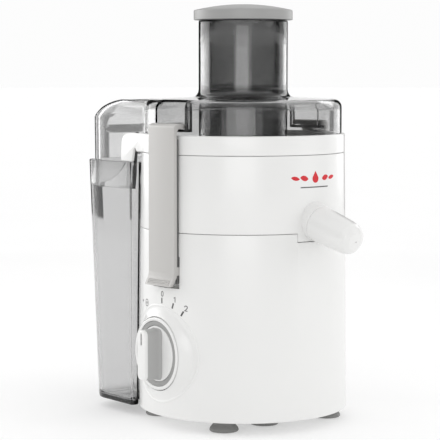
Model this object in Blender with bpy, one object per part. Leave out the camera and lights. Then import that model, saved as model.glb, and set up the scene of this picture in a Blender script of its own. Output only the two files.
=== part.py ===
"""A compact centrifugal juicer, modelled as the pieces that it comes apart into.

The model is drawn in millimetres around the vertical drive axis: the spout faces -Y, the pulp container hangs
behind at +Y, and the two side clamps sit at +X and -X. An empty moves all of it so that the origin lies on the
table under the middle of the whole object. Metres, +Z up.
"""

import math

import bmesh
import bpy
from mathutils import Matrix, Vector

MM = 0.001
MERGE = 1e-7

# Driving dimensions, in millimetres.
BASE_BOTTOM = 10.5
BASE_TOP = 167.8
BOWL_BOTTOM = 168.2
BOWL_TOP = 232.9
COLLAR_BOTTOM = 233.3
COLLAR_TOP = 249.4
LID_BOTTOM = 249.8
CHUTE_TOP = 346.4
CAP_TOP = 360.5
BODY_RADIUS_LOW = 91.2
BODY_RADIUS_HIGH = 88.6
BODY_WALL = 2.8
LID_RADIUS = 85.7
LID_WALL = 2.4
CHUTE_RADIUS = 38.7
CHUTE_BORE = 36.4
CHUTE_END = 204.0
COVER_TOP = 278.6
CUP_BOTTOM = 208.0
CONTAINER_TOP = 223.6
CONTAINER_BOTTOM = 9.0
CONTAINER_FRONT = 59.5
CONTAINER_WALL = 2.0
SKIRT_BOTTOM = 200.0
KNOB_HEIGHT = 64.0
KNOB_AZIMUTH = 95.0
SPOUT_HEIGHT = 177.6
SPOUT_SLOPE = 17.0
SPOUT_START = 89.3
CLAMP_PIVOT = (84.5, 136.0)
CLAMP_HALF_WIDTH = 16.5
LEDGE = 254.5

# The middle of the object's outline lies here in the drive axis's frame.
CENTRE_X = -4.99
CENTRE_Y = 3.58

BIG = 36
MEDIUM = 24
SMALL = 16
TINY = 10

COLOURS = {
    "white_plastic": ((0.84, 0.84, 0.83), 0.32, 0.0),
    "clamp_plastic": ((0.62, 0.61, 0.60), 0.38, 0.0),
    "cap_plastic": ((0.43, 0.43, 0.42), 0.45, 0.0),
    "smoky_clear": ((0.25, 0.25, 0.25), 0.08, 0.0),
    "foot_rubber": ((0.22, 0.22, 0.22), 0.7, 0.0),
    "dark_plastic": ((0.05, 0.05, 0.05), 0.5, 0.0),
    "steel": ((0.62, 0.62, 0.63), 0.25, 1.0),
    "sieve_steel": ((0.6, 0.6, 0.6), 0.35, 1.0),
    "laminations": ((0.3, 0.3, 0.31), 0.5, 1.0),
    "copper": ((0.8, 0.4, 0.2), 0.35, 1.0),
    "carbon": ((0.03, 0.03, 0.03), 0.8, 0.0),
}


# ---------------------------------------------------------------- tools

def clear_scene():
    for obj in list(bpy.data.objects):
        bpy.data.objects.remove(obj, do_unlink=True)


def material(name):
    found = bpy.data.materials.get(name)
    if found:
        return found
    colour, roughness, metallic = COLOURS[name]
    made = bpy.data.materials.new(name)
    made.use_nodes = True
    shader = made.node_tree.nodes["Principled BSDF"]
    shader.inputs["Base Color"].default_value = (*colour, 1.0)
    shader.inputs["Roughness"].default_value = roughness
    shader.inputs["Metallic"].default_value = metallic
    return made


def body_radius(height):
    """The outer radius of the white body, which narrows a little towards the top."""
    share = (height - BASE_BOTTOM) / (BOWL_TOP - BASE_BOTTOM)
    return BODY_RADIUS_LOW + (BODY_RADIUS_HIGH - BODY_RADIUS_LOW) * share


def root_empty():
    root = bpy.data.objects.new("juicer_root", None)
    root.location = (-CENTRE_X * MM, -CENTRE_Y * MM, 0)
    bpy.context.scene.collection.objects.link(root)
    return root


def add(name, bm, slot, place=None):
    """Make an object of the bmesh, drawn in millimetres, and put it where place, a matrix in millimetres, says."""
    bmesh.ops.remove_doubles(bm, verts=bm.verts, dist=MERGE / MM)
    bmesh.ops.recalc_face_normals(bm, faces=bm.faces)
    bmesh.ops.scale(bm, vec=(MM, MM, MM), verts=bm.verts)
    mesh = bpy.data.meshes.new(name)
    bm.to_mesh(mesh)
    bm.free()
    mesh.shade_smooth()
    mesh.set_sharp_from_angle(angle=math.radians(35))
    mesh.materials.append(material(slot))
    obj = bpy.data.objects.new(name, mesh)
    bpy.context.scene.collection.objects.link(obj)
    obj.parent = ROOT
    if place is not None:
        spot = place.copy()
        spot.translation = place.translation * MM
        obj.matrix_local = spot
    return obj


def helper(obj):
    obj.hide_render = True
    obj.display_type = "WIRE"
    return obj


def boolean(obj, other, operation):
    modifier = obj.modifiers.new(operation.lower() + "_" + other.name, "BOOLEAN")
    modifier.object = helper(other)
    modifier.operation = operation
    modifier.solver = "EXACT"
    return obj


def cut(obj, *cutters):
    for cutter in cutters:
        boolean(obj, cutter, "DIFFERENCE")
    return obj


def join(obj, *others):
    for other in others:
        boolean(obj, other, "UNION")
    return obj


def common(obj, other):
    return boolean(obj, other, "INTERSECT")


def turned(profile, segments):
    """Spin a closed outline of (radius, height) points about Z."""
    bm = bmesh.new()
    points = [bm.verts.new((radius, 0, height)) for radius, height in profile]
    pairs = zip(points, points[1:] + points[:1])
    edges = [bm.edges.new(pair) for pair in pairs if max(pair[0].co.x, pair[1].co.x) > MERGE]
    bmesh.ops.spin(bm, geom=points + edges, cent=(0, 0, 0), axis=(0, 0, 1), angle=math.tau,
                   steps=segments, use_merge=True)
    bmesh.ops.remove_doubles(bm, verts=bm.verts, dist=1e-4)
    return bm


def stacked(rings, closed=False):
    """Join rings of 3-D points, one to the next. The ends are capped, or joined to each other when closed."""
    bm = bmesh.new()
    made = [[bm.verts.new(point) for point in ring] for ring in rings]
    count = len(rings[0])
    pairs = list(zip(made, made[1:] + made[:1])) if closed else list(zip(made, made[1:]))
    for lower, upper in pairs:
        for i in range(count):
            j = (i + 1) % count
            bm.faces.new((lower[i], lower[j], upper[j], upper[i]))
    if not closed:
        bm.faces.new(made[0])
        bm.faces.new(made[-1])
    return bm


def level(outline, height):
    return [(x, y, height) for x, y in outline]


def prism(outline, bottom, top):
    return stacked([level(outline, bottom), level(outline, top)])


def box(low, high):
    outline = [(low[0], low[1]), (high[0], low[1]), (high[0], high[1]), (low[0], high[1])]
    return prism(outline, low[2], high[2])


def star(tip, root, points):
    """A closed outline that steps between two radii, as on a fan or a splined boss."""
    corners = []
    for i in range(points):
        middle = math.tau * i / points
        half = math.pi / points
        for angle, radius in ((-0.9 * half, root), (-0.45 * half, tip), (0.45 * half, tip), (0.9 * half, root)):
            corners.append((radius * math.cos(middle + angle), radius * math.sin(middle + angle)))
    return corners


def bored_prism(outline, bore, bottom, top):
    """A prism with a round hole up its middle, made as one ring of rings."""
    hole = [(bore * x / math.hypot(x, y), bore * y / math.hypot(x, y)) for x, y in outline]
    rings = [level(outline, bottom), level(outline, top), level(hole, top), level(hole, bottom)]
    return stacked(rings, closed=True)


def facing(origin, forward, up=(0, 0, 1)):
    """A placing matrix whose local Z looks along forward and whose local Y leans towards up."""
    z = Vector(forward).normalized()
    x = Vector(up).cross(z).normalized()
    y = z.cross(x)
    turn = Matrix((x, y, z)).transposed().to_4x4()
    turn.translation = Vector(origin)
    return turn


def lying_along_y(x, z):
    return facing((x, 0, z), (0, 1, 0))


# ---------------------------------------------------------------- white body

def body_solid():
    """A solid that ends inside the body's wall, for trimming what is let into that wall."""
    inside = 0.6
    profile = [(0, 5), (body_radius(5) - inside, 5), (body_radius(240) - inside, 240), (0, 240)]
    return helper(add("guide_body_solid", turned(profile, BIG), "white_plastic"))


def knob_place(distance=0.0):
    angle = math.radians(KNOB_AZIMUTH)
    direction = Vector((-math.sin(angle), -math.cos(angle), 0))
    return facing(direction * distance + Vector((0, 0, KNOB_HEIGHT)), direction)


KNOB_POCKET_FLOOR = 83.0
KNOB_POCKET_BACK = 79.8
POCKET = {"depth": 80.8, "half": 17.6, "bottom": 119.3, "top": 148.0, "wall": 2.4}
SCREW_CIRCLE = 70.0
SCREW_ANGLES = (70, 110, 250, 290)


def at_angle(radius, degrees):
    return radius * math.cos(math.radians(degrees)), radius * math.sin(math.radians(degrees))


def cylinder(name, radius, bottom, top, segments=SMALL, place=None, slot="white_plastic"):
    profile = [(0, bottom), (radius, bottom), (radius, top), (0, top)]
    return add(name, turned(profile, segments), slot, place)


def shifted(x, y, z=0.0):
    return Matrix.Translation((x, y, z))


def base_housing():
    inner = BODY_WALL
    profile = [
        (body_radius(BASE_BOTTOM) - 1.6, BASE_BOTTOM), (body_radius(12.5), 12.5),
        (body_radius(BASE_TOP), BASE_TOP), (body_radius(BASE_TOP) - inner, BASE_TOP),
        (body_radius(160) - inner, 160), (12.5, 160), (12.5, 163), (9, 163), (9, 157.5),
        (body_radius(157.5) - inner, 157.5), (body_radius(13) - inner, BASE_BOTTOM),
    ]
    housing = add("base_housing", turned(profile, BIG), "white_plastic")
    solid = body_solid()

    plug = cylinder("guide_knob_plug", 42, KNOB_POCKET_BACK, 96, MEDIUM, knob_place())
    join(housing, common(plug, solid))
    dish = [(0, KNOB_POCKET_FLOOR), (32.6, KNOB_POCKET_FLOOR), (39.6, 90.2), (42, 97), (0, 97)]
    cut(housing, add("guide_knob_dish", turned(dish, MEDIUM), "white_plastic", knob_place()))
    cut(housing, cylinder("guide_knob_hole", 4.0, 70, 90, SMALL, knob_place()))

    for side, sign in (("left", -1), ("right", 1)):
        edges = sorted((sign * (POCKET["depth"] - POCKET["wall"]), sign * 100))
        outer_half = POCKET["half"] + 4.6
        plug = add("guide_clamp_plug_" + side, box(
            (edges[0], -outer_half, POCKET["bottom"] - POCKET["wall"]),
            (edges[1], outer_half, POCKET["top"] + POCKET["wall"])), "white_plastic")
        join(housing, common(plug, solid))
        edges = sorted((sign * POCKET["depth"], sign * 101))
        cut(housing, add("guide_clamp_pocket_" + side, box(
            (edges[0], -POCKET["half"], POCKET["bottom"]),
            (edges[1], POCKET["half"], POCKET["top"])), "white_plastic"))
        place = lying_along_y(sign * CLAMP_PIVOT[0], CLAMP_PIVOT[1])
        cut(housing, cylinder("guide_pin_bore_" + side, 1.8, -20.2, 20.2, TINY, place))

    for i, degrees in enumerate(SCREW_ANGLES):
        x, y = at_angle(SCREW_CIRCLE, degrees)
        post = [(0, 30), (2.0, 30), (2.0, 13.7), (4.6, 13.7), (4.6, 158), (0, 158)]
        join(housing, add(f"guide_screw_post_{i}", turned(post, TINY), "white_plastic", shifted(x, y)))

    cut(housing, add("guide_spout_notch", box((-19.3, -100, 160.6), (19.3, -60, 175)), "white_plastic"))
    gland = facing((0, 0, 22), GLAND_DIRECTION)
    cut(housing, cylinder("guide_gland_hole", 5.2, 80, 100, SMALL, gland))
    return housing


GLAND_DIRECTION = (math.sin(math.radians(115)), -math.cos(math.radians(115)), 0)


def bottom_plate():
    edge = body_radius(13) - BODY_WALL - 0.5
    plate = add("bottom_plate", turned([(0, 10.8), (edge, 10.8), (edge, 13.3), (0, 13.3)], BIG), "white_plastic")
    for i, degrees in enumerate(SCREW_ANGLES):
        x, y = at_angle(SCREW_CIRCLE, degrees)
        cut(plate, cylinder(f"guide_screw_hole_{i}", 2.2, 9, 15, TINY, shifted(x, y)))
    return plate


def base_screws():
    for i, degrees in enumerate(SCREW_ANGLES):
        x, y = at_angle(SCREW_CIRCLE, degrees)
        profile = [(0, 9.0), (3.6, 9.0), (3.6, 10.5), (1.7, 10.9), (1.7, 26), (0, 26)]
        add(f"base_screw_{i + 1}", turned(profile, TINY), "steel", shifted(x, y))


FEET = {"front_left": (-57, -38), "front_right": (51, -53), "front_centre": (-12, -40),
        "rear_left": (-51, 53), "rear_right": (57, 38)}


def feet():
    profile = [(0, 2.0), (7.4, 1.6), (8.4, 0), (11.6, 0), (12.5, 0.8), (11.8, 2.6), (9.4, 5.2), (9.0, 10.4), (0, 10.4)]
    for name, (x, y) in FEET.items():
        add("suction_foot_" + name, turned(profile, SMALL), "foot_rubber", shifted(x, y))


def spout_place(along=0.0):
    slope = math.radians(SPOUT_SLOPE)
    direction = Vector((0, -math.cos(slope), -math.sin(slope)))
    return facing(Vector((0, -SPOUT_START, SPOUT_HEIGHT)) + direction * along, direction)


SPOUT_FACE = 5.0
SPOUT_BORE = 6.2
SOCKET_RADIUS = 15.6
BOWL_WALL = 2.4


def spout_clearance(name):
    """What the bowl's wall and floor leave free round the spout's socket."""
    return cylinder(name, SOCKET_RADIUS + 0.3, -7.3, 20, MEDIUM, spout_place())


def juice_bowl():
    """The bowl's wall, with its locating skirt, an inner ledge under the floor and an apron below the spout."""
    inner = body_radius(BOWL_TOP) - BOWL_WALL
    profile = [
        (body_radius(BOWL_BOTTOM), BOWL_BOTTOM), (body_radius(BOWL_TOP), BOWL_TOP), (inner, BOWL_TOP),
        (inner + 0.7, 169.9), (84.2, 169.9), (84.2, 160.8), (86.1, 160.8), (86.1, BOWL_BOTTOM),
    ]
    bowl = add("juice_bowl", turned(profile, BIG), "white_plastic")
    ring = [(85.4, 161.2), (body_radius(161.2) - 0.1, 161.2), (body_radius(169) - 0.1, 169), (85.4, 169)]
    apron = add("guide_bowl_apron", turned(ring, BIG), "white_plastic")
    common(apron, add("guide_apron_box", box((-18.9, -95, 160), (18.9, -70, 172)), "white_plastic"))
    join(bowl, apron)
    cut(bowl, spout_clearance("guide_bowl_clearance"))
    return bowl


def bowl_floor():
    """The bowl's floor, which falls to the rim, with the tube that keeps juice away from the drive shaft."""
    profile = [
        (86.5, 170.3), (86.5, 173.6), (84, 172.8), (19.8, 176.5), (19.8, 188), (17.6, 188), (17.6, 164),
        (19.8, 164), (19.8, 174), (84.2, 170.3),
    ]
    floor = add("bowl_floor", turned(profile, BIG), "white_plastic")
    return cut(floor, spout_clearance("guide_floor_clearance"))


def spout_socket():
    """The round socket that carries the spout, with a stub that the spout turns on."""
    profile = [(SPOUT_BORE, -7), (SOCKET_RADIUS, -7), (SOCKET_RADIUS, SPOUT_FACE), (8.6, SPOUT_FACE), (8.6, 14),
               (SPOUT_BORE, 14)]
    return add("spout_socket", turned(profile, MEDIUM), "white_plastic", spout_place())


def spout():
    tip = [(14.4, 35.2), (13.4, 40.7), (10.8, 45.0), (6.6, 47.7), (0, 48.5)]
    hollow = [(0, 43.8), (6, 42.8), (10, 39.2), (11, 35.2), (11, 5.4)]
    tube = add("spout", turned([(14.6, 5.4), *tip, *hollow], MEDIUM), "white_plastic", spout_place())
    outlet = facing((0, 0, 0), (0, -1, 0), (0, 0, 1))
    place = spout_place() @ shifted(0, 0, 33.2) @ outlet
    cut(tube, cylinder("guide_spout_outlet", 8.0, 2, 25, SMALL, place))
    seal = [(8.9, 8.6), (10.7, 8.6), (10.7, 10.6), (8.9, 10.6)]
    add("spout_seal", turned(seal, SMALL), "foot_rubber", spout_place())
    return tube


# ---------------------------------------------------------------- collar, container and lid

def container_outline(height, inset=0.0, gap=1.2):
    """The container's plan: straight sides, round rear corners and a hollow front that hugs the body."""
    share = (height - CONTAINER_BOTTOM) / (CONTAINER_TOP - CONTAINER_BOTTOM)
    rear = 132.0 + 12.0 * share - inset
    front_half = 74.4 - inset
    rear_half = 71.6 - inset
    corner = 28.0 - inset
    hollow = body_radius(height) + gap + inset
    front = CONTAINER_FRONT + inset
    right = [(front_half, front)]
    steps = 6
    for i in range(steps + 1):
        angle = math.pi / 2 * i / steps
        right.append((rear_half - corner + corner * math.cos(angle), rear - corner + corner * math.sin(angle)))
    left = [(-x, y) for x, y in reversed(right)]
    start = math.asin(front / hollow)
    bend = []
    for i in range(13):
        angle = math.pi - start + (2 * start - math.pi) * i / 12
        bend.append((hollow * math.cos(angle), hollow * math.sin(angle)))
    return right + left + bend


def pulp_container():
    wall = CONTAINER_WALL
    heights = (CONTAINER_BOTTOM, CONTAINER_TOP)
    outside = [level(container_outline(z), z) for z in heights]
    inside = [level(container_outline(z, wall), z) for z in (CONTAINER_TOP, CONTAINER_BOTTOM + 3.5)]
    return add("pulp_container", stacked(outside + inside), "smoky_clear")


def cover_outline(height, inset=0.0):
    """The pulp cover's plan at a height: it narrows to a quarter ellipse behind and a small round at each side."""
    front_half, rear_half, corner = 71.4 - inset, 67.8 - inset, 27.0
    rear = 140.2 - inset - 1.4 * max(250 - height, 0) / 50
    top = COVER_TOP - inset
    if height > 250:
        rise = min((height - 250) / (top - 250), 0.995)
        rear = 82.2 + (rear - 82.2) * math.sqrt(1 - rise * rise)
        side = max(height - (top - 9), 0) / 9.3
        round_in = 9 - 9 * math.sqrt(1 - side * side)
        front_half -= round_in
        rear_half -= round_in
    corner = min(corner, rear - 70)
    outline = [(front_half, 44)]
    for i in range(7):
        angle = math.pi / 2 * i / 6
        outline.append((rear_half - corner + corner * math.cos(angle), rear - corner + corner * math.sin(angle)))
    return outline + [(-x, y) for x, y in reversed(outline)]


def cover_solid(name, inset, bottom):
    top = COVER_TOP - inset
    heights = [bottom, 250, 257, 263, top - 9, top - 5.5, top - 2.5, top - 0.8]
    return add(name, stacked([level(cover_outline(z, inset), z) for z in heights]), "smoky_clear")


def lid():
    wall = LID_WALL
    outer = [(0, CHUTE_END), (CHUTE_RADIUS - 0.2, CHUTE_END), (CHUTE_RADIUS - 0.2, LID_BOTTOM),
             (LID_RADIUS, LID_BOTTOM), (LID_RADIUS, 272.5), (83.9, 277), (78.7, 278.9),
             (44.2, 280.4), (41, 281.6), (39.3, 284), (CHUTE_RADIUS, 286.5), (CHUTE_RADIUS, CHUTE_TOP),
             (0, CHUTE_TOP)]
    shell = add("lid", turned(outer, BIG), "smoky_clear")
    join(shell, trim_skirt(cover_solid("guide_cover_outside", 0, SKIRT_BOTTOM)))

    inner = [(CHUTE_RADIUS, 190), (LID_RADIUS - wall, 190), (LID_RADIUS - wall, 271.5), (82, 274.6),
             (78, 276.2), (44.2, 277.8), (CHUTE_RADIUS, 278.2)]
    inside = helper(add("guide_lid_inside", turned(inner, BIG), "smoky_clear"))
    hollow = cover_solid("guide_cover_inside", 2.2, SKIRT_BOTTOM - 5)
    for side, sign in (("left", -1), ("right", 1)):
        edges = sorted((sign * 74.8, sign * 100))
        cut(inside, add("guide_pocket_keep_" + side, box((edges[0], -20.4, 252.2), (edges[1], 20.4, 290)),
                        "smoky_clear"))
        edges = sorted((sign * 77.2, sign * 100))
        cut(shell, add("guide_pocket_" + side, box((edges[0], -18.2, LEDGE), (edges[1], 18.2, 290)),
                       "smoky_clear"))
    cut(shell, inside, hollow)
    cut(shell, cylinder("guide_chute_bore", CHUTE_BORE, 190, 360, BIG))
    return shell


def trim_skirt(cover):
    """Keep the skirt only behind the body: its front edges slope back so that the container can tilt."""
    outline = [(-100, 190), (69.5, 190), (63, 250.3), (-100, 250.3)]
    place = facing((0, 0, 0), (1, 0, 0))
    return cut(cover, add("guide_skirt_trim", prism(outline, -90, 90), "smoky_clear", place))


def ear_outline():
    """The side of one ear, as (Y, Z): a bridge from the body over to the container's rim, then a hook down."""
    arc = []
    for i in range(5):
        angle = math.pi / 2 * i / 4
        arc.append((66.5 + 9.5 * math.sin(angle), 239.8 + 9.5 * math.cos(angle)))
    return [(40, 249.3), *arc, (77.4, 228.5), (77.6, 224.7), (62.6, 224.7), (59.8, 236.0), (57.4, 236.0), (40, 236)]


def pulp_collar():
    wall = 2.4
    outer = BODY_RADIUS_HIGH
    profile = [
        (outer, COLLAR_BOTTOM), (outer, 247.6), (outer - 1.4, COLLAR_TOP), (83.9, COLLAR_TOP), (83.9, 247.2),
        (outer - wall, 246.4), (outer - wall, 238.4), (77.4, 238.4), (77.0, 242.0), (75.6, 242.0),
        (75.6, 230.5), (77.0, 230.5), (77.4, 236.2), (83.6, 236.2), (83.6, 230.8), (85.6, 230.8),
        (85.8, COLLAR_BOTTOM),
    ]
    collar = add("pulp_collar", turned(profile, BIG), "white_plastic")
    cut(collar, add("guide_pulp_gate", box((-64, 50, 238.4), (64, 100, 260)), "white_plastic"))
    lip = [(82.5, 236.4), (95.4, 229.4), (96.6, 231.2), (84.5, 238.3), (82.5, 238.3)]
    ramp = add("guide_pulp_ramp", turned(lip, BIG), "white_plastic")
    common(ramp, add("guide_ramp_box", box((-58, 60, 220), (58, 110, 245)), "white_plastic"))
    join(collar, ramp)
    for side, low, high in (("left", -74.4, -71.5), ("right", 71.5, 74.4)):
        ear = add("guide_ear_" + side, prism(ear_outline(), low, high), "white_plastic",
                  facing((0, 0, 0), (1, 0, 0)))
        cut(ear, cylinder("guide_ear_trim_" + side, 87.2, 200, 260, BIG))
        join(collar, ear)
    return collar


# ---------------------------------------------------------------- clamps

def clamp_outline():
    """The clamp from the side, as (radius, height): a thin arm with a hook on top and a flared lip below."""
    x, z = CLAMP_PIVOT
    knuckle = []
    for i in range(5):
        angle = math.pi / 2 + math.pi * i / 4
        knuckle.append((x + 3.2 * math.cos(angle), z + 3.2 * math.sin(angle)))
    return [(98.8, 123), (94.6, 130), (93.8, 134), (93.8, 255), (92.8, 257.8), (90, 259.2), (79.4, 259.2),
            (79, 258.8), (79, 254.9), (88.4, 254.9), (90.3, 251.5), (90.4, 139.6), *knuckle, (90.4, 132.2),
            (91.6, 129.5), (95.4, 123)]


def clamps():
    for side, sign in (("left", -1), ("right", 1)):
        outline = [(sign * radius, height) for radius, height in clamp_outline()]
        points = [[(x, y, z) for x, z in outline] for y in (-CLAMP_HALF_WIDTH, CLAMP_HALF_WIDTH)]
        pivot = Vector((sign * CLAMP_PIVOT[0], 0, CLAMP_PIVOT[1]))
        points = [[tuple(Vector(point) - pivot) for point in ring] for ring in points]
        clamp = add("clamp_" + side, stacked(points), "clamp_plastic", Matrix.Translation(pivot))
        place = lying_along_y(pivot.x, pivot.z)
        cut(clamp, cylinder("guide_clamp_bore_" + side, 1.85, -20, 20, TINY, place))
        cylinder("clamp_pin_" + side, 1.5, -19.8, 19.8, TINY, place, "steel")


# ---------------------------------------------------------------- pusher and knob

def pusher():
    cup = [(0, CUP_BOTTOM), (34.6, CUP_BOTTOM), (35.7, CUP_BOTTOM + 1.2), (35.7, 350.6), (33.4, 350.6),
           (33.4, CUP_BOTTOM + 2.6), (0, CUP_BOTTOM + 2.6)]
    add("pusher_cup", turned(cup, BIG), "smoky_clear")
    cap = [(0, CAP_TOP), (15, 360.1), (28, 358.7), (38, 356.5), (42, 355.0), (42.9, 353.6), (42.9, 347.6),
           (42.3, 346.9), (36.3, 346.9), (36.3, 351.0), (0, 351.0)]
    add("pusher_cap", turned(cap, BIG), "cap_plastic")


def knob():
    place = knob_place()
    dial = [(0, 84), (30.4, 84), (31, 85), (31, 93), (30.2, 93.8), (28, 93.8), (28, 91.6), (23.6, 91.6),
            (23.6, 93.2), (0, 93.2)]
    add("knob_dial", turned(dial, MEDIUM), "white_plastic", place)
    ring = [(24, 91.9), (27.6, 91.9), (27.6, 93.1), (24, 93.1)]
    add("knob_ring", turned(ring, MEDIUM), "clamp_plastic", place)
    half_width, half_length = 6.25, 21.5
    grip = []
    for i in range(7):
        angle = math.pi * i / 6
        grip.append((half_width * math.cos(angle), half_length - 4 + 4 * math.sin(angle)))
    grip += [(-x, -y) for x, y in grip]
    narrow = [(0.92 * x, 0.97 * y) for x, y in grip]
    rings = [level(grip, 93.5), level(grip, 107.5), level(narrow, 108.7)]
    add("knob_grip", stacked(rings), "white_plastic", place)
    cylinder("knob_shaft", 3.0, 80.2, 83.7, TINY, place, "dark_plastic")
    add("speed_switch", box((-13, -13, 56), (13, 13, 79.4)), "dark_plastic", place)


# ---------------------------------------------------------------- motor and drive

def motor():
    add("motor_stator", turned([(19.4, 88), (36, 88), (36, 126), (19.4, 126)], MEDIUM), "laminations")
    for name, low in (("upper", 126.4), ("lower", 80.0)):
        high = low + 7.4
        add("field_winding_" + name, turned([(21, low), (32, low), (32, high), (21, high)], MEDIUM), "copper")
    upper = [(11.4, 136), (14.5, 136), (14.5, 144), (46, 144), (46, 147), (8, 147), (8, 144.2), (11.4, 144.2)]
    add("motor_bracket_upper", turned(upper, MEDIUM), "steel")
    lower = [(8.6, 44), (12, 44), (12, 50), (46, 50), (46, 53), (8.6, 53)]
    add("motor_bracket_lower", turned(lower, MEDIUM), "steel")
    bearing = [(4.3, 137), (11, 137), (11, 143.8), (4.3, 143.8)]
    add("motor_bearing_upper", turned(bearing, SMALL), "steel")
    bearing = [(4.3, 45), (8.2, 45), (8.2, 52), (4.3, 52)]
    add("motor_bearing_lower", turned(bearing, SMALL), "steel")
    for side, x in (("left", -41), ("right", 41)):
        cylinder("motor_spacer_" + side, 3.0, 53.4, 143.6, TINY, shifted(x, 0), "steel")
    for side, low, high in (("front", -27, -10.9), ("rear", 10.9, 27)):
        add("carbon_brush_" + side, box((-3, low, 66), (3, high, 74)), "carbon")
    for i, degrees in enumerate((45, 135, 225, 315)):
        x, y = at_angle(38, degrees)
        cylinder(f"motor_mount_{i + 1}", 5.5, 147.4, 157.1, TINY, shifted(x, y), "foot_rubber")
    seal = [(4.6, 158), (8.7, 158), (8.7, 162.6), (5.4, 164.6), (4.6, 164.6)]
    add("shaft_seal", turned(seal, SMALL), "foot_rubber")


def drive():
    add("motor_shaft", turned([(0, 46), (4, 46), (4, 186), (0, 186)], SMALL), "steel")
    rotor = [(4.3, 80), (15, 80), (15, 88), (18.5, 88), (18.5, 126), (15, 126), (15, 134), (4.3, 134)]
    add("motor_armature", turned(rotor, MEDIUM), "copper")
    add("commutator", turned([(4.3, 62.5), (10.5, 62.5), (10.5, 78), (4.3, 78)], SMALL), "copper")
    add("cooling_fan", bored_prism(star(30, 12, 8), 4.3, 55, 60.5), "dark_plastic")
    add("drive_coupling", bored_prism(star(14.4, 12.2, 6), 4.3, 166, 188), "dark_plastic")
    hub = [(0, 190.4), (15.2, 190.4), (15.2, 180), (17.0, 180), (17.0, 190.4), (21, 190.4), (21, 183.5),
           (23, 183.5), (23, 190.4), (53.5, 190.4), (53.5, 194.4), (0, 194.4)]
    add("basket_hub", turned(hub, MEDIUM), "dark_plastic")
    sieve = [(54.3, 190.6), (55.2, 190.6), (71.6, 238), (70.7, 238)]
    add("filter_sieve", turned(sieve, BIG), "sieve_steel")
    rim = [(70.2, 238.3), (73.2, 238.3), (73.8, 243), (70.8, 243)]
    add("filter_rim", turned(rim, BIG), "dark_plastic")
    disc = [(0, 194.7), (51, 194.7), (51, 196.1), (9, 196.1), (7, 198.6), (0, 198.6)]
    add("grating_disc", turned(disc, MEDIUM), "steel")


def cord_gland():
    profile = [(2.6, 84), (4.9, 84), (4.9, 91.6), (7.4, 91.6), (7.4, 93.4), (4.6, 99), (2.6, 99)]
    add("cord_gland", turned(profile, SMALL), "dark_plastic", facing((0, 0, 22), GLAND_DIRECTION))


clear_scene()
ROOT = root_empty()
base_housing()
bottom_plate()
base_screws()
feet()
juice_bowl()
bowl_floor()
spout_socket()
spout()
pulp_collar()
lid()
pulp_container()
clamps()
pusher()
knob()
motor()
drive()
cord_gland()
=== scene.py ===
"""The finished looks of a compact centrifugal juicer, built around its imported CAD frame.

Shapes are drawn in millimetres around the drive axis, as the CAD model is, and moved into the frame by MOVE.
The spout faces -Y, the pulp container hangs behind at +Y, and the speed knob is on the -X side.
"""

import math

import bmesh
import bpy
import numpy as np
from mathutils import Matrix, Vector


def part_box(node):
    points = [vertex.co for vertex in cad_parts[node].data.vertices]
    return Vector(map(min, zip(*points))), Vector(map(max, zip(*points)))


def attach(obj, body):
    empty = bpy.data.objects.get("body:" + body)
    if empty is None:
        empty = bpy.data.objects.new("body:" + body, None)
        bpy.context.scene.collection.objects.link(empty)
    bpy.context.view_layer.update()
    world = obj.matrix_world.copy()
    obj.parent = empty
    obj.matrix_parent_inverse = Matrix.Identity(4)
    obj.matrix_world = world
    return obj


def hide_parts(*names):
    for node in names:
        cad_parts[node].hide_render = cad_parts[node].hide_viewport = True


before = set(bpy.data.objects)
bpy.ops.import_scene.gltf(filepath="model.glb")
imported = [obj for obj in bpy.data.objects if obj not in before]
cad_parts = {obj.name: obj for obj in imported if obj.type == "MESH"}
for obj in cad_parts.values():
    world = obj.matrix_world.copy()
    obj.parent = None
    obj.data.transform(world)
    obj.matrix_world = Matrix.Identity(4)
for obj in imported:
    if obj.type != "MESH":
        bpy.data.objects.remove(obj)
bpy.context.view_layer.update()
MM = 0.001
SHAFT_LOW, SHAFT_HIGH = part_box("motor_shaft")
MOVE = Matrix.Translation(((SHAFT_LOW.x + SHAFT_HIGH.x) / 2, (SHAFT_LOW.y + SHAFT_HIGH.y) / 2, 0))

# Sizes of the frame, in millimetres, measured from the drive axis.
BASE_BOTTOM, BASE_TOP = 10.5, 167.8
BOWL_BOTTOM, BOWL_TOP = 168.2, 232.9
COLLAR_BOTTOM, COLLAR_TOP = 233.3, 249.4
LID_BOTTOM = 249.8
CHUTE_TOP, CHUTE_RADIUS, CHUTE_BORE, CHUTE_END = 346.4, 38.7, 36.4, 204.0
CAP_TOP = 360.5
LID_RADIUS, LID_WALL = 85.7, 2.3
LEDGE = 254.5
SKIRT_BOTTOM = 200.0
CONTAINER_TOP, CONTAINER_BOTTOM, CONTAINER_FRONT, CONTAINER_WALL = 223.6, 9.0, 62.8, 2.0
KNOB_HEIGHT, KNOB_AZIMUTH = 64.0, 95.0
SPOUT_START, SPOUT_HEIGHT, SPOUT_SLOPE = 89.3, 177.6, 17.0
PIVOT_X, PIVOT_Z = 84.5, 136.0
CLAMP_HALF = 16.5
COVER_FRONT_HALF, COVER_REAR_HALF, COVER_REAR, COVER_CORNER = 71.4, 67.8, 140.2, 27.0
COVER_BEND_START, COVER_BEND_HEIGHT = 82.2, 250
CHUTE_FILLET = 44.2
EMBLEM_HEIGHT = 214.6
CAMERA_AZIMUTH = -43.0
FINE = 200
ROUND = 96


def body_radius(height):
    """The white body's outer radius, which narrows a little towards the top."""
    return 91.2 - 2.6 * (height - BASE_BOTTOM) / (BOWL_TOP - BASE_BOTTOM)


# ---------------------------------------------------------------- camera, lights, floor

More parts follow.
